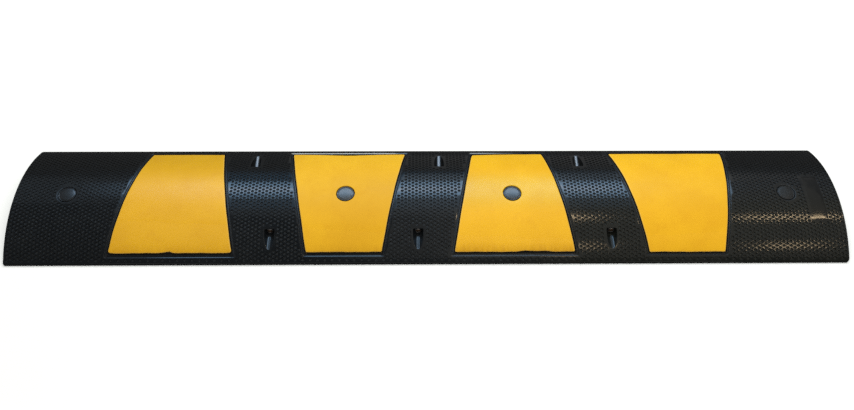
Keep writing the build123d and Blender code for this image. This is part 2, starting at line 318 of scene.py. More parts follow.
# ---------------------------------------------------------------------------
# The rubber body: one closed skin
# ---------------------------------------------------------------------------
def make_body():
    shell = Shell()

    # outer edge, eased at the top
    outline = plan_outline()
    normal = outward(outline)
    ease = 1.7
    inset = outline - ease * normal
    edge_loop = np.stack([inset[:, 0], arc_of(inset[:, 1])], -1)

    loops = [edge_loop]
    # bevelled borders of the panel recesses
    for i in range(4):
        loops.append(border_rows(i)[0][0])
    # cat-eye pockets
    stations, sections, rim, tip = pocket_rim()
    left = [(x, -v) for x, v in rim]
    right = [(-x, -v) for x, v in rim]
    across = [(left[0][0] + (right[0][0] - left[0][0]) * k / 4, -POCKET_WALL) for k in (1, 2, 3)]
    # counter-clockwise: down the left side to the tip, up the right side, back along the wall's top
    rim_xy = np.array(left + [(0.0, -tip)] + right[::-1] + across[::-1])
    n_st = len(stations)
    rim_xs = np.stack([rim_xy[:, 0], arc_of(rim_xy[:, 1])], -1)
    grow_xs = rim_xs + 1.1 * outward(rim_xs)
    pockets = []
    for x in POCKET_X:
        for turn in (1, -1):
            pockets.append((x, turn))
            loops.append((grow_xs + [x, 0.0]) * turn)
    # fixing holes in the black ends
    n_hole = 44
    ends = [HOLE_X[0], HOLE_X[3]]
    for x in ends:
        loops.append(circle_loop(x, 22.4, n_hole))
    # plain plate
    px0, px1, ps0, ps1 = PLATE

    def plate_loop(g):
        return rounded_polygon([(px0 - g, ps0 - g), (px1 + g, ps0 - g), (px1 + g, ps1 + g), (px0 - g, ps1 + g)],
                               [2.5 + g] * 4, [8, 4, 8, 4][::-1], 4)
    loops.append(plate_loop(0.0))
    n_fixed = len(loops)

    # dimples on a hexagonal lattice, only where the rubber is plain
    sites = []
    for i in range(-116, 116):
        for j in range(-19, 19):
            sites.append(((i + 0.5) * DIMPLE_DX, DIMPLE_P * (j + (0.25 if i % 2 else 0.75))))
    sites = np.array(sites)
    sites = sites[(np.abs(sites[:, 0]) < LENGTH / 2 - 2.5) & (np.abs(sites[:, 1]) < arc_of(WIDTH / 2) - 3.0)]
    ok = (np.abs(sites[:, 0]) < LENGTH / 2 - 6.5) & (np.abs(sites[:, 1]) < 154.0)
    clear = np.full(len(sites), 1e9)
    room = [0.0] + [3.9] * 4 + [4.8] * 6 + [4.4] * 2 + [4.2]
    for lp, need in zip(loops[1:], room[1:]):
        d = loop_distance(sites, lp)
        ok &= d > need
        clear = np.minimum(clear, d)
    clear = np.minimum(clear, -loop_distance(sites, edge_loop))
    dimples = sites[ok]
    plain = sites[~ok & (clear > 2.6)]
    ring = 2 * np.pi * (np.arange(DIMPLE_N) + 0.5) / DIMPLE_N
    unit = np.stack([np.cos(ring), np.sin(ring)], -1)
    rims = [c + DIMPLE_ROWS[0][0] * unit for c in dimples]
    # the web between two dimples is highest along its middle
    taken = {(round(c[0], 1), round(c[1], 1)) for c in dimples}
    steps = [(0.0, DIMPLE_P), (DIMPLE_DX, DIMPLE_P / 2), (DIMPLE_DX, -DIMPLE_P / 2)]
    web = [(c[0] + a / 2, c[1] + b / 2) for c in dimples for a, b in steps if (round(c[0] + a, 1), round(c[1] + b, 1)) in taken]
    plain = np.concatenate([plain, web])
    print("dimples", len(dimples), "web points", len(web))

    tri = triangulate(loops + rims, plain)
    flat = np.concatenate(loops + rims + [plain])
    height = np.zeros(len(flat))
    n_loops = sum(len(lp) for lp in loops)
    height[n_loops:n_loops + len(dimples) * DIMPLE_N] = DIMPLE_ROWS[0][1]
    top = shell.add(lift(flat[:, 0], flat[:, 1], height))
    shell.faces(top[tri])
    starts = np.cumsum([0] + [len(lp) for lp in loops + rims])

    def row(k):
        return top[starts[k]:starts[k + 1]]

    # dimples: a sharp rim, a steep wall and a dull floor
    first = starts[n_fixed]
    levels = [top[first:first + len(dimples) * DIMPLE_N].reshape(-1, DIMPLE_N)]
    for r, h in DIMPLE_ROWS[1:]:
        pts = (dimples[:, None, :] + r * unit[None]).reshape(-1, 2)
        levels.append(shell.add(lift(pts[:, 0], pts[:, 1], h)).reshape(-1, DIMPLE_N))
    deep = shell.add(lift(dimples[:, 0], dimples[:, 1], DIMPLE_FLOOR))
    for k in range(len(dimples)):
        for a, b in zip(levels, levels[1:]):
            shell.band(a[k], b[k], flip=True)
        shell.fan(levels[-1][k], deep[k])
    pits = np.concatenate([np.concatenate([lv.ravel() for lv in levels[1:]]), deep])

    # outer edge: rounded shoulder, lip and end faces, base edge
    crown = np.stack([outline[:, 0], outline[:, 1], top_z(outline[:, 1])], -1)
    a3 = lift(edge_loop[:, 0], edge_loop[:, 1])
    c3 = crown - [0, 0, ease]
    last = row(0)
    for t in (0.2, 0.4, 0.6, 0.8, 1.0):
        nxt = shell.add((1 - t) ** 2 * a3 + 2 * t * (1 - t) * crown + t * t * c3)
        shell.band(last, nxt)
        last = nxt
    low = np.stack([outline[:, 0], outline[:, 1], np.full(len(outline), 0.7)], -1)
    for t in (0.5, 1.0):
        nxt = shell.add(c3 + (low - c3) * t)
        shell.band(last, nxt)
        last = nxt
    under = outline - 0.7 * normal
    base_row = shell.add(np.stack([under[:, 0], under[:, 1], np.zeros(len(under))], -1))
    shell.band(last, base_row)

    # bevelled borders and panel recesses
    bore_rows, deep_joint, painted_highlight_rows, dull_lip, dull_rim, painted_reflection_rows, shaded = {}, [], [], [], [], [], []
    for i in range(4):
        last = row(1 + i)
        for k, (lp, h) in enumerate(border_rows(i)[1:] + [(panel_loop(i, JOINT), -RECESS)]):
            nxt = shell.add(lift(lp[:, 0], lp[:, 1], h))
            shell.band(last, nxt, flip=True)
            last = nxt
            if k > 8:
                deep_joint.append(nxt)
            # painted shade: the front steps of panels 3 and 4 and the back bevels are darkened
            back = np.clip(outward(lp)[:, 1], 0, 1) ** 4
            front = (0.0, 0.0, 0.45, 0.85)[i] * np.clip(-outward(lp)[:, 1], 0, 1) ** 4
            # painted highlight: a pale line along the back bevels of panels 2 and 3
            if i in (1, 2) and k < 3:
                shaded.append((nxt, front))
                back *= (0.6, 1.0, 0.6)[k]
                painted_highlight_rows.append((nxt, back * (1 - smooth(-84, -70, lp[:, 0])) if i == 1 else back * 0.50 * (1 - smooth(120, 235, lp[:, 0]))))
            elif k < 9:
                shaded.append((nxt, 0.9 * back + front))
            if k < 8:
                facing = outward(lp)
                dull_lip.append((nxt, np.where((facing[:, 0] < 0) & (i == 2), 0.75, 0.35) * (1 - facing[:, 1] ** 2)))
        floor_loops = [panel_loop(i, JOINT)]
        hole = None
        if i in (1, 2):
            hole = circle_loop(HOLE_X[i], TOP_R, n_hole)
            floor_loops.append(hole)
        lo, hi = floor_loops[0].min(0), floor_loops[0].max(0)
        gx, gs = np.meshgrid(np.arange(lo[0] + 10, hi[0], 22.0), np.arange(lo[1] + 10, hi[1], 14.0))
        grid = np.stack([gx.ravel(), gs.ravel()], -1)
        grid = grid[loop_distance(grid, floor_loops[0]) < -6]
        if hole is not None:
            grid = grid[loop_distance(grid, hole) > 6]
        t = triangulate(floor_loops, grid)
        idx = [last]
        if hole is not None:
            bore_rows[i] = shell.add(lift(hole[:, 0], hole[:, 1], -RECESS))
            idx.append(bore_rows[i])
        idx.append(shell.add(lift(grid[:, 0], grid[:, 1], -RECESS)))
        deep_joint += idx[1:]
        shell.faces(np.concatenate(idx)[t])

    # plain plate, a little proud of the surface
    last = row(n_fixed - 1)
    plate_rows = []
    for g, h in ((-0.9, 0.04), (-1.9, 0.11), (-2.4, 0.13)):
        lp = plate_loop(g)
        nxt = shell.add(lift(lp[:, 0], lp[:, 1], h))
        shell.band(last, nxt, flip=True)
        plate_rows.append(nxt)
        last = nxt
    lp = plate_loop(-2.4)
    gx, gs = np.meshgrid(np.arange(px0 + 7, px1 - 5, 6.5), np.arange(ps0 + 7, ps1 - 5, 7.0))
    grid = np.stack([gx.ravel(), gs.ravel()], -1)
    t = triangulate([lp], grid)
    plate_rows.append(shell.add(lift(grid[:, 0], grid[:, 1], 0.13)))
    shell.faces(np.concatenate([last, plate_rows[-1]])[t])

    # fixing holes: counterbore, ledge, seat and through hole
    ang = 2 * np.pi * np.arange(n_hole) / n_hole
    hole_rows = []

    def ring_at(x, r, z):
        return shell.add(np.stack([x + r * np.cos(ang), r * np.sin(ang), np.full(n_hole, z)], -1))

    for k, x in enumerate(HOLE_X):
        if k in (0, 3):
            last = row(1 + 4 + 6 + (0 if k == 0 else 1))
            rim2 = circle_loop(x, 22.4, n_hole)
            a3 = lift(rim2[:, 0], rim2[:, 1])
            nominal = circle_loop(x, TOP_R, n_hole)
            b3 = lift(nominal[:, 0], nominal[:, 1])
            c3 = b3 - [0, 0, 1.8]
            for t in (0.25, 0.5, 0.75, 1.0):
                nxt = shell.add((1 - t) ** 2 * a3 + 2 * t * (1 - t) * b3 + t * t * c3)
                shell.band(last, nxt, flip=True)
                dull_rim.append(nxt)
                last = nxt
        else:
            last = bore_rows[k]
        for r, z in ((TOP_R, LEDGE_Z + 0.4), (TOP_R - 0.4, LEDGE_Z), (BORE_R + 0.5, LEDGE_Z), (BORE_R, LEDGE_Z - 0.5),
                     (BORE_R, SEAT_Z + 0.5), (BORE_R - 0.5, SEAT_Z), (HOLE_R + 0.4, SEAT_Z), (HOLE_R, SEAT_Z - 0.4),
                     (HOLE_R, 0.5), (HOLE_R + 0.5, 0.0)):
            nxt = ring_at(x, r, z)
            shell.band(last, nxt, flip=True)
            last = nxt
        hole_rows.append(last)

    # cat-eye pockets
    for k, (x, turn) in enumerate(pockets):
        move = np.array([turn, turn, 1.0])

        def put(p):
            return shell.add((np.asarray(p, float) + [x, 0, 0]) * move)

        rim_row = row(5 + k)
        a3 = lift(grow_xs[:, 0], grow_xs[:, 1])
        b3 = lift(rim_xs[:, 0], rim_xs[:, 1])
        rows = [[put([p])[0] for p in s] for s in sections]
        rows = [np.array(r) for r in rows]
        # painted reflection: a pale stripe down the middle of each rear pocket's trough, with painted shade on its
        # sides
        if turn < 0:
            from_middle = [np.abs([p[0] for p in s]) for s in sections]
            painted_reflection_rows += [(r, 0.82 * np.exp(-(d / 2.0) ** 2)) for r, d in zip(rows, from_middle)]
            shaded += [(r, 0.95 * smooth(2.4, 5.0, d)) for r, d in zip(rows, from_middle)]
        toe = put([(0.0, -(tip - 0.9), POCKET_FLOOR)])[0]
        wall_y = -POCKET_WALL
        l0, r0 = sections[0][0], sections[0][-1]
        lip_pts = [l0 + (r0 - l0) * q / 4 for q in (1, 2, 3)]
        lip_idx = [put([p])[0] for p in lip_pts]
        # inner row in the rim's order: left side down, toe, right side up, wall top from right to left
        c_idx = np.array([r[0] for r in rows] + [toe] + [r[-1] for r in rows[::-1]] + lip_idx[::-1])
        c3 = np.array([s[0] for s in sections] + [(0.0, -(tip - 0.9), POCKET_FLOOR)] + [s[-1] for s in sections[::-1]] + lip_pts[::-1])
        last = rim_row
        for t in (0.33, 0.67):
            nxt = put((1 - t) ** 2 * a3 + 2 * t * (1 - t) * b3 + t * t * c3)
            shell.band(last, nxt, flip=True)
            last = nxt
        shell.band(last, c_idx, flip=True)
        # trough
        for p, q in zip(rows[:-1], rows[1:]):
            shell.strip(p, q)
        end = rows[-1]
        shell.faces([(end[j], toe, end[j + 1]) for j in range(len(end) - 1)])
        # upright wall with the reflector's hole
        wall_xz = np.concatenate([sections[0][:, [0, 2]], np.array(lip_pts)[::-1][:, [0, 2]]])
        a = 2 * np.pi * np.arange(24) / 24
        eye = np.stack([(EYE_R + 0.05) * np.cos(a), EYE_Z + (EYE_R + 0.05) * np.sin(a)], -1)
        eye_rows = [put(np.stack([eye[:, 0], np.full(24, wall_y + dy), eye[:, 1]], -1)) for dy in (0.0, EYE_DEPTH)]
        t = triangulate([wall_xz, eye], np.zeros((0, 2)))
        idx = np.concatenate([rows[0], np.array(lip_idx)[::-1], eye_rows[0]])
        shell.faces(idx[t])
        shell.band(eye_rows[0], eye_rows[1], flip=True)
        back = put([(0.0, wall_y + EYE_DEPTH, EYE_Z)])[0]
        shell.fan(eye_rows[1], back)

    # underside with its relief cells
    def cell(x0, x1, y0, y1, g=0.0):
        return rounded_polygon([(x0 - g, y0 - g), (x1 + g, y0 - g), (x1 + g, y1 + g), (x0 - g, y1 + g)], [CELL_ROUND + g] * 4, [1, 2, 1, 2], 3)
    cells = []
    for x in [s * (CELL_PITCH / 2 + CELL_PITCH * k) for k in range(8) for s in (-1, 1)]:
        x0, x1 = x - CELL_L / 2, x + CELL_L / 2
        for y0, y1, depth in (CELLS_DEEP, CELLS_EDGE):
            cells += [(x0, x1, y0, y1, depth), (x0, x1, -y1, -y0, depth)]
        if all(abs(x - h) > CELL_L / 2 + MID_KEEP for h in HOLE_X):
            cells.append((x0, x1, -CELLS_MID[0] / 2, CELLS_MID[0] / 2, CELLS_MID[1]))
    base_loops = [under]
    base_idx = [base_row]
    for c in cells:
        lp = cell(*c[:4])
        base_loops.append(lp)
        base_idx.append(shell.add(np.stack([lp[:, 0], lp[:, 1], np.zeros(len(lp))], -1)))
    for k, x in enumerate(HOLE_X):
        base_loops.append(np.stack([x + (HOLE_R + 0.5) * np.cos(ang), (HOLE_R + 0.5) * np.sin(ang)], -1))
        base_idx.append(hole_rows[k])
    t = triangulate(base_loops, np.zeros((0, 2)))
    shell.faces(np.concatenate(base_idx)[t][:, ::-1])
    for c, start in zip(cells, base_idx[1:]):
        last = start
        for g, z in ((-0.6, 0.6), (-1.1, c[4] - 3.0), (-2.0, c[4] - 0.9), (-4.2, c[4])):
            lp = cell(*c[:4], g)
            nxt = shell.add(np.stack([lp[:, 0], lp[:, 1], np.full(len(lp), z)], -1))
            shell.band(last, nxt)
            last = nxt
        mid = shell.add([((c[0] + c[1]) / 2, (c[2] + c[3]) / 2, c[4])])[0]
        shell.fan(last, mid, flip=True)
    obj = shell.build("rubber_skin")
    pit = np.zeros(len(obj.data.vertices), np.float32)
    pit[pits] = 1.0
    pit[np.concatenate(dull_rim)] = 0.6
    for idx, w in dull_lip:
        pit[idx] = w
    joint_and_painted_shade, painted_highlight, dust_and_painted_reflection = np.zeros((3, len(pit)), np.float32)
    joint_and_painted_shade[np.concatenate(deep_joint)] = 1.0
    for idx, w in shaded:
        joint_and_painted_shade[idx] = w
    for idx, w in painted_highlight_rows:
        painted_highlight[idx] = w
    for idx, w in painted_reflection_rows:
        dust_and_painted_reflection[idx] = w
    plate = np.zeros(len(pit), np.float32)
    plate[np.concatenate(plate_rows)] = 1.0
    for name, values in (("pit", pit), ("joint_and_painted_shade", joint_and_painted_shade), ("painted_highlight", painted_highlight), ("dust_and_painted_reflection", dust_and_painted_reflection), ("plate", plate)):
        obj.data.attributes.new(name, "FLOAT", "POINT").data.foreach_set("value", values)
    return obj


# ---------------------------------------------------------------------------
# Yellow panels: thick curved sheets with rounded, slightly uneven edges
# ---------------------------------------------------------------------------
def uneven(i, lp):
    """Outline of panel i with the small waves of its trimmed front and back edges."""
    x, s = lp[:, 0].copy(), lp[:, 1].copy()
    end = float(arc_of(PANEL_END))
    front = 1 - smooth(-end + 4, -end + 16, s)
    back = smooth(end - 16, end - 4, s)
    f = 0.25 + 0.25 * np.sin(x / 17.0 + i) + 0.15 * np.sin(x / 6.1 + 2 * i)
    b = 0.30 + 0.30 * np.sin(x / 21.0 + 2 * i) + 0.15 * np.sin(x / 7.3 + i)
    if i == 0:
        f += 2.3 * np.exp(-((x + 561) / 5.5) ** 2) + 1.7 * np.exp(-((x + 567) / 15.0) ** 2)
        f += 1.9 * np.exp(-((x + 691) / 4.5) ** 2) + 1.9 * np.exp(-((x + 427) / 4.5) ** 2)
    if i == 1:
        f += 1.2
        b += 5.4 * np.exp(-((x + 190) / 55.0) ** 2)
    if i == 3:
        f -= 0.9
        b -= 1.1
    if i == 2:
        f += 0.5
        f += 1.5 * smooth(188, 200, x) * (1 - smooth(256, 272, x)) + 0.8 * np.exp(-((x - 206) / 5.0) ** 2) + 0.6 * np.exp(-((x - 250) / 7.0) ** 2)
        b += 5.2 * (1 - smooth(70, 215, x))
    s += front * f - back * b
    side = (1 - front) * (1 - back)
    x += side * 0.22 * np.sin(s / 13.0 + 1.7 * i + np.sign(x - x.mean()))
    return np.stack([x, s], -1)


def make_panel(i):
    shell = Shell()
    hole_x = HOLE_X[i] if i in (1, 2) else None
    n_hole = 56

    def swell(pts, rim):
        """Gentle unevenness of the moulded face, none at its edges and never above the crest line."""
        x, s = pts[:, 0], pts[:, 1]
        w = 0.07 * np.sin(x / 31.0 + i) * np.sin(s / 27.0 + 2 * i) + 0.05 * np.sin(x / 13.0 + 0.7 * s / 11.0) + 0.04 * np.sin(s / 9.0 - x / 23.0)
        return PROUD + np.minimum(w, 0.0014 * s ** 2) * np.clip(-loop_distance(pts, rim) / 12.0, 0, 1)

    edge = [(-0.5, -2.95), (0.0, -2.5), (0.0, -0.75), (-0.16, -0.15), (-0.55, 0.32), (-1.2, 0.60), (-2.2, 0.76), (-3.6, PROUD)]
    rows, last = [], None
    for g, h in edge:
        lp = uneven(i, panel_loop(i, g))
        idx = shell.add(lift(lp[:, 0], lp[:, 1], h))
        if last is not None:
            shell.band(idx, last)
        rows.append((lp, idx))
        last = idx
    hole_edge = [(22.6, PROUD), (21.7, 0.72), (21.05, 0.45), (20.7, -0.05), (PANEL_HOLE_R, -1.0), (PANEL_HOLE_R, -2.95)]
    hole_rows = []
    if hole_x is not None:
        for r, h in hole_edge:
            lp = circle_loop(hole_x, r, n_hole)
            idx = shell.add(lift(lp[:, 0], lp[:, 1], h))
            if hole_rows:
                shell.band(hole_rows[-1][1], idx, flip=True)
            hole_rows.append((lp, idx))
    for top_face in (True, False):
        rim, rim_idx = rows[-1] if top_face else rows[0]
        loops, ids = [rim], [rim_idx]
        if hole_x is not None:
            k = 0 if top_face else -1
            loops.append(hole_rows[k][0])
            ids.append(hole_rows[k][1])
        step = 8.0 if top_face else 18.0
        lo, hi = rim.min(0), rim.max(0)
        gx, gs = np.meshgrid(np.arange(lo[0], hi[0], step), np.arange(lo[1], hi[1], step * 0.87))
        gx = gx + np.where(np.arange(gx.shape[0]) % 2, step / 2, 0)[:, None]
        grid = np.stack([gx.ravel(), gs.ravel()], -1)
        keep = loop_distance(grid, rim) < -0.6 * step
        if hole_x is not None:
            keep &= loop_distance(grid, loops[1]) > 0.6 * step
        grid = grid[keep]
        h = swell(grid, rim) if top_face else -2.95
        t = triangulate(loops, grid)
        ids.append(shell.add(lift(grid[:, 0], grid[:, 1], h)))
        t = np.concatenate(ids)[t]
        shell.faces(t if top_face else t[:, ::-1])
    obj = shell.build("panel_sheet_%d" % (i + 1), 50.0)
    # wall: painted shade on the panel's side walls down in the joint; rim: painted highlight, a paler colour along the
    # rounded top edge
    wall, rim = np.zeros((2, len(obj.data.vertices)), np.float32)
    for (g, h), (_, idx) in zip(edge, rows):
        wall[idx] = 1.0 if h < -0.5 else 0.6 if h < 0 else 0.0
        rim[idx] = 1.0 if -2.0 < g < -0.1 else 0.0
    for name, values in (("wall", wall), ("rim", rim)):
        obj.data.attributes.new(name, "FLOAT", "POINT").data.foreach_set("value", values)
    return obj


# ---------------------------------------------------------------------------
# Turned pieces: plugs, washers, reflector cups and lenses
# ---------------------------------------------------------------------------
def lathe(name, profile, n, place, ring=False, sharp=34.0):
    """Piece turned about its own axis; profile is (r, z) from the outer face's centre round to the inner one's, or a closed ring."""
    shell = Shell()
    a = 2 * np.pi * np.arange(n) / n
    rows = []
    for r, z in profile:
        if r == 0:
            rows.append(shell.add(place(np.array([[0.0, 0.0, z]]))))
        else:
            rows.append(shell.add(place(np.stack([r * np.cos(a), r * np.sin(a), np.full(n, z)], -1))))
    pairs = list(zip(rows, rows[1:])) + ([(rows[-1], rows[0])] if ring else [])
    for p, q in pairs:
        if len(p) == 1:
            shell.fan(q, p[0])
        elif len(q) == 1:
            shell.fan(p, q[0], flip=True)
        else:
            shell.band(p, q)
    return shell.build(name, sharp)


def dome(half, rise, z0, n):
    """(r, z) points of a spherical cap from its top to its rim."""
    r = (half ** 2 + rise ** 2) / (2 * rise)
    return [(half * k / n, z0 + math.sqrt(r * r - (half * k / n) ** 2) - (r - rise)) for k in range(n + 1)]


PLUG = dome(16.2, 0.86, 49.64, 7) + [
    (16.55, 49.42), (16.85, 49.30), (17.15, 49.36), (17.45, 49.58), (17.8, 49.72), (18.2, 49.70), (18.55, 49.52), (18.82, 49.2),
    (18.97, 48.75), (19.0, 48.2), (19.0, 44.2), (18.85, 43.5), (18.4, 43.05), (17.2, 43.02), (16.7, 42.85), (16.5, 42.3), (16.5, 36.5),
    (16.66, 36.1), (16.66, 35.3), (16.5, 34.9), (16.5, 30.5), (16.66, 30.1), (16.66, 29.3), (16.5, 28.9), (16.5, 26.8), (16.2, 25.7),
    (15.6, 25.1), (15.0, 25.0), (13.6, 25.0), (13.1, 25.2), (12.8, 25.8), (12.8, 40.0), (12.5, 40.7), (11.8, 41.0), (0.0, 41.0)]
WASHER = [(7.35, SEAT_Z + WASHER_T), (9.6, SEAT_Z + WASHER_T), (10.0, SEAT_Z + WASHER_T - 0.18), (10.6, SEAT_Z + WASHER_T - 0.18), (11.0, SEAT_Z + WASHER_T),
          (16.0, SEAT_Z + WASHER_T), (16.45, SEAT_Z + WASHER_T - 0.2), (16.6, SEAT_Z + WASHER_T - 0.6), (16.6, SEAT_Z + 0.35), (16.35, SEAT_Z + 0.05),
          (7.3, SEAT_Z + 0.05), (7.05, SEAT_Z + 0.3), (7.05, SEAT_Z + WASHER_T - 0.3)]
back = EYE_DEPTH - 1
CUP = [(0.0, -back + CUP_BACK), (4.9, -back + CUP_BACK), (5.3, -back + CUP_BACK + 0.1), (LENS_R, -back + CUP_BACK + 0.5), (LENS_R, 0.15), (5.5, 0.42), (5.72, 0.63), (6.05, 0.76),
       (6.4, 0.8), (6.75, 0.76), (7.08, 0.62), (7.3, 0.38), (FLANGE_R, 0.14), (7.36, 0.02), (EYE_R, 0.0), (EYE_R, -12.2), (6.3, -12.7), (5.8, -12.98), (0.0, -back)]
LENS = dome(4.7, 1.32, 1.08, 7) + [(4.95, 0.94), (5.15, 0.78), (5.3, 0.55), (5.34, 0.2), (5.34, -10.6), (5.1, -11.05), (4.6, -11.3), (0.0, -11.3)]

body = make_body()
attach(body, "bump")
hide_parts("rubber_body")

panels = []
for i in range(4):
    piece = make_panel(i)
    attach(piece, "bump")
    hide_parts("yellow_panel_%d" % (i + 1))
    panels.append(piece)

plugs, washers, cups, lenses = [], [], [], []
for i, x in enumerate(HOLE_X):
    at = np.array([x, 0.0, 0.0])
    piece = lathe("plug_%d" % (i + 1), PLUG, 64, lambda p: p + at)
    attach(piece, "plug_%d" % (i + 1))
    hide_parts("hole_plug_%d" % (i + 1))
    plugs.append(piece)
    piece = lathe("washer_%d" % (i + 1), WASHER, 48, lambda p: p + at, ring=True)
    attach(piece, "bump")
    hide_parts("bolt_washer_%d" % (i + 1))
    washers.append(piece)

for side, turn in (("front", 1.0), ("rear", -1.0)):
    for i, x in enumerate(sorted(turn * x for x in POCKET_X)):
        def on_wall(p, x=x, turn=turn):
            return np.stack([x + turn * p[:, 0], turn * (-POCKET_WALL - p[:, 2]), EYE_Z + p[:, 1]], -1)
        piece = lathe("cup_%s_%d" % (side, i + 1), CUP, 36, on_wall)
        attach(piece, "bump")
        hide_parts("reflector_cup_%s_%d" % (side, i + 1))
        cups.append(piece)
        piece = lathe("lens_%s_%d" % (side, i + 1), LENS, 36, on_wall)
        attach(piece, "bump")
        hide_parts("reflector_lens_%s_%d" % (side, i + 1))
        lenses.append(piece)


# ---------------------------------------------------------------------------
# Materials
# ---------------------------------------------------------------------------
class Mat:
    """A small helper for node materials; coordinates are the object's own, in metres."""

    def __init__(self, name):
        self.mat = bpy.data.materials.new(name)
        self.mat.use_nodes = True
        self.nt = self.mat.node_tree
        self.nt.nodes.clear()
        self.out = self.nt.nodes.new("ShaderNodeOutputMaterial")
        self.bsdf = self.nt.nodes.new("ShaderNodeBsdfPrincipled")
        self.nt.links.new(self.bsdf.outputs[0], self.out.inputs[0])
        self.coord = self.nt.nodes.new("ShaderNodeTexCoord").outputs["Object"]

    def link(self, a, b):
        self.nt.links.new(a, b)

    def set(self, **values):
        for k, v in values.items():
            self.bsdf.inputs[k.replace("_", " ")].default_value = v

    def stretch(self, scale, loc=(0, 0, 0)):
        m = self.nt.nodes.new("ShaderNodeMapping")
        m.inputs["Scale"].default_value = scale
        m.inputs["Location"].default_value = loc
        self.link(self.coord, m.inputs["Vector"])
        return m.outputs[0]

    def noise(self, scale, detail=3.0, rough=0.55, vec=None, distort=0.0):
        n = self.nt.nodes.new("ShaderNodeTexNoise")
        n.inputs["Scale"].default_value = scale
        n.inputs["Detail"].default_value = detail
        n.inputs["Roughness"].default_value = rough
        n.inputs["Distortion"].default_value = distort
        self.link(vec if vec is not None else self.coord, n.inputs["Vector"])
        return n.outputs["Fac"]

    def voronoi(self, scale, feature="F1", vec=None, out="Distance"):
        n = self.nt.nodes.new("ShaderNodeTexVoronoi")
        n.feature = feature
        n.inputs["Scale"].default_value = scale
        self.link(vec if vec is not None else self.coord, n.inputs["Vector"])
        return n.outputs[out]

    def ramp(self, fac, stops):
        n = self.nt.nodes.new("ShaderNodeValToRGB")
        n.color_ramp.elements[0].position = stops[0][0]
        n.color_ramp.elements[1].position = stops[-1][0]
        for p, _ in stops[1:-1]:
            n.color_ramp.elements.new(p)
        for e, (_, c) in zip(n.color_ramp.elements, stops):
            e.color = (c, c, c, 1) if isinstance(c, (int, float)) else (*c, 1)
        self.link(fac, n.inputs[0])
        return n.outputs["Color"]

    def mix(self, fac, a, b, kind="MIX"):
        n = self.nt.nodes.new("ShaderNodeMix")
        n.data_type, n.blend_type = "RGBA", kind
        for sock, val in ((n.inputs[0], fac), (n.inputs[6], a), (n.inputs[7], b)):
            if hasattr(val, "is_linked"):
                self.link(val, sock)
            elif isinstance(val, (int, float)):
                sock.default_value = val
            else:
                sock.default_value = (*val, 1)
        return n.outputs[2]

    def math(self, op, a, b=None, clamp=False):
        n = self.nt.nodes.new("ShaderNodeMath")
        n.operation, n.use_clamp = op, clamp
        for sock, val in zip(n.inputs, (a, b)):
            if val is None:
                continue
            if hasattr(val, "is_linked"):
                self.link(val, sock)
            else:
                sock.default_value = val
        return n.outputs[0]

    def attribute(self, name):
        n = self.nt.nodes.new("ShaderNodeAttribute")
        n.attribute_name = name
        return n.outputs["Fac"]

    def axis(self, which):
        n = self.nt.nodes.new("ShaderNodeSeparateXYZ")
        self.link(self.coord, n.inputs[0])
        return n.outputs[which]

    def bump(self, height, strength, distance, normal=None):
        n = self.nt.nodes.new("ShaderNodeBump")
        n.inputs["Strength"].default_value = strength
        n.inputs["Distance"].default_value = distance
        self.link(height, n.inputs["Height"])
        if normal is not None:
            self.link(normal, n.inputs["Normal"])
        return n.outputs[0]


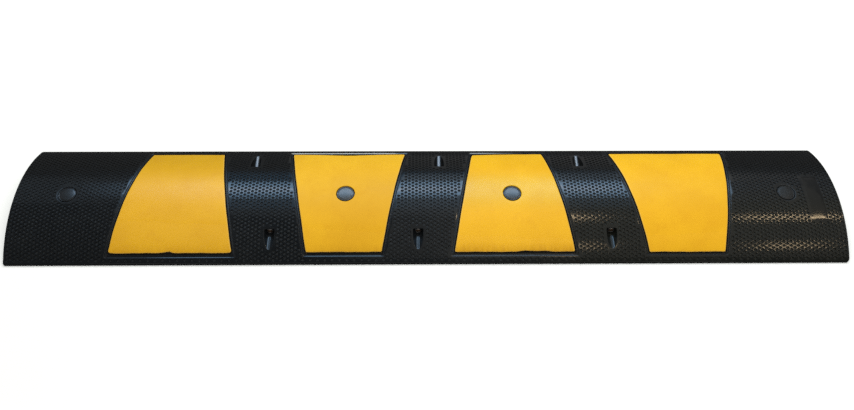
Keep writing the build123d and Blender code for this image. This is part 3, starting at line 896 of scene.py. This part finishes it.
def black_rubber(name, dark, light, dust_and_painted_reflection, rough_lo, rough_hi, pits=False, gloss=0.5):
    m = Mat(name)
    m.set(Specular_IOR_Level=gloss)
    wide = m.noise(5.0, 3.0, 0.6)
    mid = m.noise(42.0, 4.0, 0.6)
    fine = m.noise(950.0, 2.0, 0.6)
    grain = m.noise(3200.0, 1.0, 0.5)
    tone = m.mix(m.ramp(mid, [(0.30, 0.0), (0.72, 1.0)]), dark, light)
    film = m.math("MULTIPLY", m.ramp(wide, [(0.40, 0.0), (0.75, 1.0)]), m.ramp(fine, [(0.35, 0.2), (0.7, 1.0)]))
    tone = m.mix(m.math("MULTIPLY", film, 0.55), tone, dust_and_painted_reflection)
    if pits:
        floor = m.mix(m.ramp(mid, [(0.30, 0.0), (0.72, 1.0)]), (0.0084, 0.0096, 0.0106), (0.0115, 0.0127, 0.0137))
        # painted light and shade: the pit floors darken towards the left end and a little at the right end; on the rear
        # slope the land is painted lighter and the pit floors darker, evening out the pits there
        floor = m.mix(1.0, floor, m.ramp(m.math("MULTIPLY", m.math("ADD", m.axis(0), 0.9), 0.5), [(0.075, 0.66), (0.225, 0.83), (0.40, 1.0), (0.72, 0.88)]), "MULTIPLY")
        rear = m.math("MULTIPLY", m.ramp(m.axis(1), [(0.02, 0.0), (0.09, 1.0)]), 0.8)
        tone = m.mix(rear, tone, (0.0078, 0.0077, 0.0074))
        floor = m.mix(rear, floor, (0.0056, 0.0052, 0.0048))
        # painted warm light: the front half of the right part is tinted warm, standing in for the warm lamps' light on
        # it
        painted_warm_light = m.math("MULTIPLY", m.ramp(m.axis(0), [(0.10, 0.0), (0.32, 1.0)]), m.ramp(m.math("ADD", m.axis(1), 0.15), [(0.115, 1.0), (0.17, 0.0)]))
        tone = m.mix(painted_warm_light, tone, (1.14, 1.04, 0.76), "MULTIPLY")
        floor = m.mix(painted_warm_light, floor, (1.14, 1.04, 0.76), "MULTIPLY")
        tone = m.mix(m.attribute("pit"), tone, floor)
        tone = m.mix(m.attribute("plate"), tone, (0.62, 0.62, 0.62), "MULTIPLY")
        # dark joints round the panels, and painted shade on the front steps of panels 3 and 4, the back bevels and the
        # sides of the rear pockets
        tone = m.mix(m.attribute("joint_and_painted_shade"), tone, m.mix(mid, (0.0020, 0.0018, 0.0016), (0.0040, 0.0036, 0.0030)))
        # painted highlight: a pale grey line along the back bevels of panels 2 and 3
        tone = m.mix(m.math("MULTIPLY", m.attribute("painted_highlight"), m.ramp(fine, [(0.30, 0.7), (0.70, 1.0)])), tone, (0.30, 0.275, 0.225))
        # painted reflection: a pale stripe down the middle of each rear pocket's trough
        tone = m.mix(m.attribute("dust_and_painted_reflection"), tone, m.mix(fine, (0.075, 0.077, 0.080), (0.100, 0.102, 0.105)))
    m.link(tone, m.bsdf.inputs["Base Color"])
    rub = m.math("ADD", m.math("MULTIPLY", mid, 0.5), m.math("MULTIPLY", wide, 0.5))
    dull = m.ramp(rub, [(0.32, rough_lo), (0.68, rough_hi)])
    if pits:
        dull = m.mix(m.math("MAXIMUM", m.attribute("pit"), m.attribute("joint_and_painted_shade")), dull, (0.85, 0.85, 0.85))
        # the pits and pockets of the rear slope are matt
        matt = m.math("MULTIPLY", m.math("MULTIPLY", rear, m.math("MAXIMUM", m.attribute("pit"), m.attribute("joint_and_painted_shade"))), 0.50)
        m.link(m.math("SUBTRACT", gloss, matt, clamp=True), m.bsdf.inputs["Specular IOR Level"])
    m.link(dull, m.bsdf.inputs["Roughness"])
    b = m.bump(fine, 0.05, 0.0003)
    m.link(m.bump(grain, 0.03, 0.00012, b), m.bsdf.inputs["Normal"])
    return m


RUBBER = black_rubber("moulded_black_rubber", (0.0034, 0.0041, 0.0049), (0.0051, 0.0060, 0.0068), (0.0095, 0.0098, 0.0098), 0.08, 0.14, pits=True)
# painted light: the four plugs are one black rubber; plugs 2 and 3 are painted lighter and plug 3 bluer, standing in
# for the window light and its reflection on them
PLUGMATS = [black_rubber("plug_rubber_1", (0.0055, 0.0060, 0.0066), (0.0080, 0.0085, 0.0092), (0.014, 0.014, 0.014), 0.22, 0.30),
            black_rubber("plug_rubber_2", (0.024, 0.024, 0.023), (0.032, 0.031, 0.029), (0.048, 0.046, 0.044), 0.20, 0.28, gloss=0.60),
            black_rubber("plug_rubber_3", (0.013, 0.015, 0.017), (0.019, 0.020, 0.022), (0.032, 0.032, 0.033), 0.18, 0.26, gloss=0.60),
            black_rubber("plug_rubber_4", (0.0060, 0.0060, 0.0057), (0.0085, 0.0085, 0.0080), (0.014, 0.0135, 0.0125), 0.42, 0.52, gloss=0.35)]


def yellow_rubber(name, painted_light_level, rough_lo, rough_hi, gloss, edge_darkening, grime, crest):
    m = Mat(name)

    def c(r, g, b):
        return (r * painted_light_level, g * painted_light_level, b * painted_light_level)
    wide = m.noise(8.0, 3.0, 0.55)
    mid = m.noise(34.0, 4.0, 0.6, distort=0.4)
    speck = m.noise(330.0, 2.0, 0.5)
    fine = m.noise(1400.0, 2.0, 0.5)
    along = m.math("ADD", m.axis(1), 0.15)
    tone = m.mix(m.ramp(wide, [(0.35, 0.0), (0.68, 1.0)]), c(0.67, 0.325, 0.0088), c(0.74, 0.374, 0.0104))
    tone = m.mix(m.math("MULTIPLY", m.ramp(mid, [(0.52, 0.0), (0.76, 1.0)]), 0.30), tone, c(0.61, 0.268, 0.0084))
    tone = m.mix(m.math("MULTIPLY", m.ramp(speck, [(0.67, 0.0), (0.75, 1.0)]), 0.35), tone, c(0.36, 0.155, 0.006))
    # grime creeps up from the front edge
    low = m.math("MULTIPLY", m.ramp(along, [(0.018, 1.0), (0.036, 0.0)]),
                 m.ramp(m.noise(120.0, 3.0, 0.6, vec=m.stretch((1.0, 0.10, 0.10))), [(0.32, 0.40), (0.66, 1.0)]))
    tone = m.mix(m.math("MULTIPLY", low, grime), tone, c(0.38, 0.158, 0.006))
    # panel 1 is darker towards its back edge and a little towards its front
    if edge_darkening:
        tone = m.mix(m.math("MULTIPLY", m.ramp(along, [(0.045, 0.28), (0.125, 0.0), (0.175, 0.0), (0.255, 1.0)]), edge_darkening), tone, c(0.30, 0.135, 0.006))
    # painted light: the front slope is lighter than the crest and the back, the back is painted cooler and the crest
    # less red where the window's highlight lies
    tone = m.mix(m.ramp(along, [(0.03, 0.0), (0.12, 1.0)]), tone, (0.945, 0.945, 0.945), "MULTIPLY")
    tone = m.mix(m.ramp(along, [(0.15, 0.0), (0.27, 1.0)]), tone, (0.955, 1.0, 1.0), "MULTIPLY")
    tone = m.mix(m.ramp(along, [(0.10, 0.0), (0.145, 1.0), (0.175, 1.0), (0.215, 0.0)]), tone, (crest, 1.0, 1.0), "MULTIPLY")
    # painted highlight: paler along the panel's rounded top edge
    tone = m.mix(m.math("MULTIPLY", m.attribute("rim"), 0.6), tone, c(0.70, 0.40, 0.075))
    # painted shade: the side walls down in the joint are near black
    tone = m.mix(m.attribute("wall"), tone, (0.012, 0.008, 0.003))
    m.link(tone, m.bsdf.inputs["Base Color"])
    m.link(m.ramp(m.math("ADD", m.math("MULTIPLY", wide, 0.4), m.math("MULTIPLY", mid, 0.6)), [(0.3, rough_lo), (0.7, rough_hi)]), m.bsdf.inputs["Roughness"])
    b = m.bump(mid, 0.10, 0.0008)
    m.link(m.bump(fine, 0.05, 0.00015, b), m.bsdf.inputs["Normal"])
    m.set(Specular_IOR_Level=gloss)
    return m


# painted light: the four panels are one yellow rubber, painted darker towards the left and brighter towards the right,
# as the light falls
YELLOWS = [yellow_rubber("yellow_rubber_1", 0.955, 0.30, 0.40, 0.40, 0.25, 0.30, 1.0), yellow_rubber("yellow_rubber_2", 0.985, 0.48, 0.60, 0.27, 0.0, 0.28, 0.985),
           yellow_rubber("yellow_rubber_3", 1.06, 0.28, 0.38, 0.38, 0.0, 0.62, 0.905), yellow_rubber("yellow_rubber_4", 1.09, 0.40, 0.50, 0.25, 0.0, 0.08, 0.98)]


def metal(name, light, dark, rough_lo, rough_hi, brushed):
    m = Mat(name)
    lines = m.noise(900.0, 2.0, 0.5, vec=m.stretch(brushed))
    blot = m.noise(160.0, 3.0, 0.6)
    m.link(m.mix(m.ramp(m.math("ADD", m.math("MULTIPLY", lines, 0.4), m.math("MULTIPLY", blot, 0.6)), [(0.35, 0.0), (0.65, 1.0)]), dark, light), m.bsdf.inputs["Base Color"])
    m.link(m.ramp(blot, [(0.3, rough_lo), (0.7, rough_hi)]), m.bsdf.inputs["Roughness"])
    m.link(m.bump(lines, 0.12, 0.0001), m.bsdf.inputs["Normal"])
    m.set(Metallic=1.0)
    return m


STEEL = metal("zinc_steel", (0.66, 0.66, 0.65), (0.50, 0.50, 0.51), 0.28, 0.45, (1.0, 0.15, 1.0))
CUPMAT = metal("pressed_aluminium", (0.62, 0.62, 0.63), (0.42, 0.42, 0.43), 0.30, 0.48, (1.0, 1.0, 0.2))


def amber_lens():
    m = Mat("amber_lens")
    prism = m.voronoi(900.0)
    cloud = m.noise(260.0, 2.0, 0.5)
    tone = m.mix(m.ramp(prism, [(0.05, 0.0), (0.6, 1.0)]), (0.050, 0.026, 0.010), (0.016, 0.009, 0.005))
    m.link(m.mix(m.math("MULTIPLY", cloud, 0.5), tone, (0.030, 0.016, 0.007)), m.bsdf.inputs["Base Color"])
    m.link(m.ramp(cloud, [(0.3, 0.06), (0.7, 0.16)]), m.bsdf.inputs["Roughness"])
    m.link(m.bump(prism, 0.08, 0.0003), m.bsdf.inputs["Normal"])
    m.set(Coat_Weight=0.6, Coat_Roughness=0.04)
    return m


AMBER = amber_lens()

for group, mat in (([body], RUBBER), (washers, STEEL), (cups, CUPMAT), (lenses, AMBER)):
    for o in group:
        o.data.materials.append(mat.mat)
for o, mat in zip(panels + plugs, YELLOWS + PLUGMATS):
    o.data.materials.append(mat.mat)

# ---------------------------------------------------------------------------
# Floor and light
# ---------------------------------------------------------------------------
floor_mesh = bpy.data.meshes.new("floor")
n = 96
ring = [(60.0 * math.cos(2 * math.pi * k / n), 60.0 * math.sin(2 * math.pi * k / n), -0.0002) for k in range(n)]
floor_mesh.from_pydata(ring, [], [list(range(n))])
floor = bpy.data.objects.new("floor", floor_mesh)
bpy.context.scene.collection.objects.link(floor)
fl = Mat("pale_floor")
fl.link(fl.mix(fl.noise(3.0, 2.0), (0.90, 0.90, 0.90), (0.93, 0.93, 0.93)), fl.bsdf.inputs["Base Color"])
fl.set(Roughness=0.9, Specular_IOR_Level=0.1)
# away from the object the floor runs out into the same plain white as the background
fl_far = fl.nt.nodes.new("ShaderNodeVectorMath")
fl_far.operation = "LENGTH"
fl.link(fl.stretch((0.42, 1.0, 1.0)), fl_far.inputs[0])
fl_path = fl.nt.nodes.new("ShaderNodeLightPath")
fl.link(fl.math("MULTIPLY", fl_path.outputs["Is Camera Ray"], fl.ramp(fl.math("MULTIPLY", fl_far.outputs["Value"], 0.25), [(0.06, 0.0), (0.14, 0.07), (0.40, 1.0)])), fl.bsdf.inputs["Emission Strength"])
fl.set(Emission_Color=(1.0, 1.0, 1.0, 1.0))
fl.mat.cycles.emission_sampling = "NONE"
floor_mesh.materials.append(fl.mat)
floor.visible_glossy = False

world = bpy.data.worlds.new("studio")
bpy.context.scene.world = world
world.use_nodes = True
wn = world.node_tree
wn.nodes.clear()
w_out = wn.nodes.new("ShaderNodeOutputWorld")
w_mix = wn.nodes.new("ShaderNodeMixShader")
w_path = wn.nodes.new("ShaderNodeLightPath")
w_fill, w_back = wn.nodes.new("ShaderNodeBackground"), wn.nodes.new("ShaderNodeBackground")
w_fill.inputs["Color"].default_value = (1.0, 0.98, 0.95, 1)
w_fill.inputs["Strength"].default_value = 0.06
w_back.inputs["Color"].default_value = (1, 1, 1, 1)
w_back.inputs["Strength"].default_value = 1.0
wn.links.new(w_path.outputs["Is Camera Ray"], w_mix.inputs[0])
wn.links.new(w_fill.outputs[0], w_mix.inputs[1])
wn.links.new(w_back.outputs[0], w_mix.inputs[2])
wn.links.new(w_mix.outputs[0], w_out.inputs[0])


def group(name, pieces):
    found = bpy.data.collections.new(name)
    for o in pieces:
        found.objects.link(o)
    return found


DARK = group("dark_pieces", [body] + plugs + washers + cups + lenses)
ALL = group("all_pieces", [body] + panels + plugs + washers + cups + lenses)


def softbox(name, place, target, size, radiance, colour, on=None, mirrored=True):
    """Rectangular soft light of the given radiance that faces the target and lights a group of pieces, or all and
    the floor; mirrored says if glossy surfaces show it."""
    data = bpy.data.lights.new(name, "AREA")
    data.shape, data.size, data.size_y = "RECTANGLE", size[0], size[1]
    data.energy = radiance * math.pi * size[0] * size[1]
    data.color = colour
    o = bpy.data.objects.new(name, data)
    bpy.context.scene.collection.objects.link(o)
    o.location = place
    d = Vector(target) - Vector(place)
    o.rotation_mode = "QUATERNION"
    o.rotation_quaternion = d.to_track_quat("-Z", "Y")
    o.visible_camera = False
    o.visible_glossy = mirrored
    if on is not None:
        o.light_linking.receiver_collection = on
    return o


COOL, GLOW, WHITE, WARM = (0.42, 0.69, 1.0), (0.20, 0.57, 1.0), (1.0, 0.84, 0.74), (1.0, 0.75, 0.45)
# a wide cool window behind with a whiter middle, dimmer towards both ends, and its glow on the wall and the sill
softbox("window", (-0.055, 1.352, 1.669), (-0.055, 0.0, 0.05), (2.63, 0.66), 4.75, COOL, ALL)
softbox("window_middle", (-0.18, 1.345, 1.661), (-0.18, 0.0, 0.05), (2.35, 0.10), 3.4, WHITE, DARK)
softbox("window_left", (-1.52, 1.352, 1.669), (-1.52, 0.0, 0.05), (0.30, 0.60), 0.8, COOL, DARK)
softbox("window_right", (1.375, 1.352, 1.669), (1.375, 0.0, 0.05), (0.235, 0.60), 1.8, COOL, DARK)
softbox("window_glow", (-0.10, 1.37, 1.69), (-0.10, 0.0, 0.05), (2.7, 1.75), 0.50, GLOW, DARK)
softbox("window_sill", (0.15, 1.69, 1.32), (0.15, 0.0, 0.05), (1.30, 0.42), 0.60, (0.65, 0.82, 1.0), DARK)
softbox("wall_glow", (-0.50, 0.75, 2.05), (-0.50, 0.0, 0.05), (1.9, 0.8), 0.30, (0.80, 0.92, 1.0), DARK)
softbox("left_wall", (-1.90, 1.37, 1.69), (-1.90, 0.0, 0.05), (0.9, 1.2), 0.22, (0.75, 0.88, 1.0), DARK)
softbox("back_wall", (0.55, 3.4, 0.75), (0.55, 0.0, 0.05), (2.7, 1.5), 0.14, (1.0, 0.98, 0.95), DARK)
# four small warm lamps overhead on the right, and the pale ceiling round them
softbox("lamp_1", (0.80, 0.30, 2.7), (0.80, 0.30, 0.0), (0.38, 0.13), 15.0, WARM, DARK)
softbox("lamp_2", (2.18, 0.30, 2.7), (2.18, 0.30, 0.0), (0.66, 0.07), 23.0, WARM, DARK)
softbox("lamp_3", (0.91, -1.09, 2.7), (0.91, -1.09, 0.0), (0.26, 0.23), 6.2, WARM, DARK)
softbox("lamp_4", (2.23, -1.09, 2.7), (2.23, -1.09, 0.0), (0.26, 0.17), 11.5, WARM, DARK)
softbox("ceiling", (1.225, 2.65, 2.75), (1.225, 2.65, 0.0), (3.05, 3.5), 0.34, (1.0, 0.97, 0.88), DARK)
softbox("ceiling_front", (1.45, -0.45, 2.75), (1.45, -0.45, 0.0), (2.6, 2.7), 0.34, (1.0, 0.97, 0.88), DARK)
softbox("ceiling_middle", (-0.15, -0.45, 2.75), (-0.15, -0.45, 0.0), (0.6, 2.7), 0.20, (1.0, 0.97, 0.88), DARK)
softbox("ceiling_end", (3.225, 1.3, 2.75), (3.225, 1.3, 0.0), (0.95, 6.2), 0.17, (1.0, 0.97, 0.93), DARK)
softbox("ceiling_back", (2.4, 4.2, 2.74), (2.4, 4.2, 0.0), (1.8, 1.9), 0.16, (1.0, 0.98, 0.95), DARK)
# dim screens at both ends and in front, which put a soft sheen on the black pieces from the other sides
softbox("screen_left", (-3.0, 0.0, 1.15), (0.0, 0.0, 0.0), (2.6, 1.7), 0.30, (1.0, 0.98, 0.95), DARK)
softbox("screen_right", (3.0, 0.0, 1.15), (0.0, 0.0, 0.0), (2.6, 1.7), 0.30, (1.0, 0.98, 0.95), DARK)
softbox("screen_front", (0.0, -3.0, 1.35), (0.0, 0.0, 0.0), (4.2, 1.9), 0.34, (1.0, 0.98, 0.95), DARK)
# broad even light from above, and a fill from the front for the black pieces
softbox("overhead", (0.3, 0.8, 3.0), (0.3, 0.8, 0.0), (5.0, 4.0), 3.1, (0.96, 0.98, 0.95), mirrored=False)
softbox("front_fill", (1.0, -2.8, 1.5), (0.4, 0.0, 0.0), (4.0, 1.2), 1.2, (1.0, 0.95, 0.86), DARK, mirrored=False)

bpy.context.scene.view_settings.view_transform = "Standard"
bpy.context.scene.view_settings.look = "None"
bpy.context.scene.cycles.use_denoising = False

# ---------------------------------------------------------------------------
# Camera
# ---------------------------------------------------------------------------
PITCH, YAW, ROLL, FOCAL_PX = 0.9865, 0.0248, 0.0178, 729.13
fwd = Vector((math.sin(YAW) * math.cos(PITCH), math.cos(YAW) * math.cos(PITCH), -math.sin(PITCH)))
right = Vector((math.cos(YAW), -math.sin(YAW), 0.0))
up = right.cross(fwd)
r2 = math.cos(ROLL) * right + math.sin(ROLL) * up
u2 = -math.sin(ROLL) * right + math.cos(ROLL) * up
cam_data = bpy.data.cameras.new("camera")
cam_data.sensor_fit = "HORIZONTAL"
cam_data.sensor_width = 36.0
cam_data.lens = FOCAL_PX * 36.0 / 854.0
cam_data.clip_start, cam_data.clip_end = 0.05, 100.0
cam = bpy.data.objects.new("camera", cam_data)
bpy.context.scene.collection.objects.link(cam)
cam.matrix_world = Matrix(((r2[0], u2[0], -fwd[0], -0.02659), (r2[1], u2[1], -fwd[1], -0.91645), (r2[2], u2[2], -fwd[2], 1.38869), (0, 0, 0, 1)))
bpy.context.scene.camera = cam
